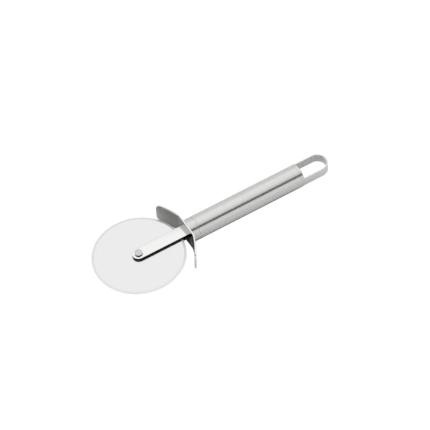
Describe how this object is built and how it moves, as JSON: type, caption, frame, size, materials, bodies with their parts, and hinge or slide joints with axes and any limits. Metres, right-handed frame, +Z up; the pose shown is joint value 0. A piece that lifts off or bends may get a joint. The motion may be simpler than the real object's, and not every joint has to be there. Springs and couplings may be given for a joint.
{
  "type": "pizza cutter",
  "caption": "All-steel pizza cutter: round blade that spins on a rivet in a flat fork, curved thumb guard, tube handle and hanging loop.",
  "frame": {"origin": "on the table under the middle of the tool as it lies flat on its handle and guard", "axes": "+X along the handle from the blade towards the hanging loop, +Y across the tool, +Z up along the blade's axle"},
  "size_m": [0.1968, 0.07, 0.018],
  "materials": {
    "blade_steel": "satin ground stainless steel with a bright bevel",
    "washer_steel": "plain stainless steel",
    "rivet_steel": "satin stainless steel",
    "polished_steel": "polished stainless steel",
    "brushed_handle_steel": "stainless steel brushed around the handle",
    "loop_steel": "satin stainless steel strip"
  },
  "bodies": {
    "frame": {"axle_rivet": "rivet_steel", "fork_arm_upper": "polished_steel", "fork_arm_lower": "polished_steel", "fork_tang_block": "polished_steel", "thumb_guard": "polished_steel", "front_collar": "brushed_handle_steel", "handle_tube": "brushed_handle_steel", "rear_cap": "brushed_handle_steel", "hanging_loop": "loop_steel"},
    "wheel": {"wheel_blade": "blade_steel", "washer_upper": "washer_steel", "washer_lower": "washer_steel"}
  },
  "joints": [
    {"name": "wheel_spin", "type": "hinge", "parent": "frame", "child": "wheel", "pos_m": [-0.06345, 0, 0.0101], "axis": [0, 0, 1], "continuous": true}
  ]
}
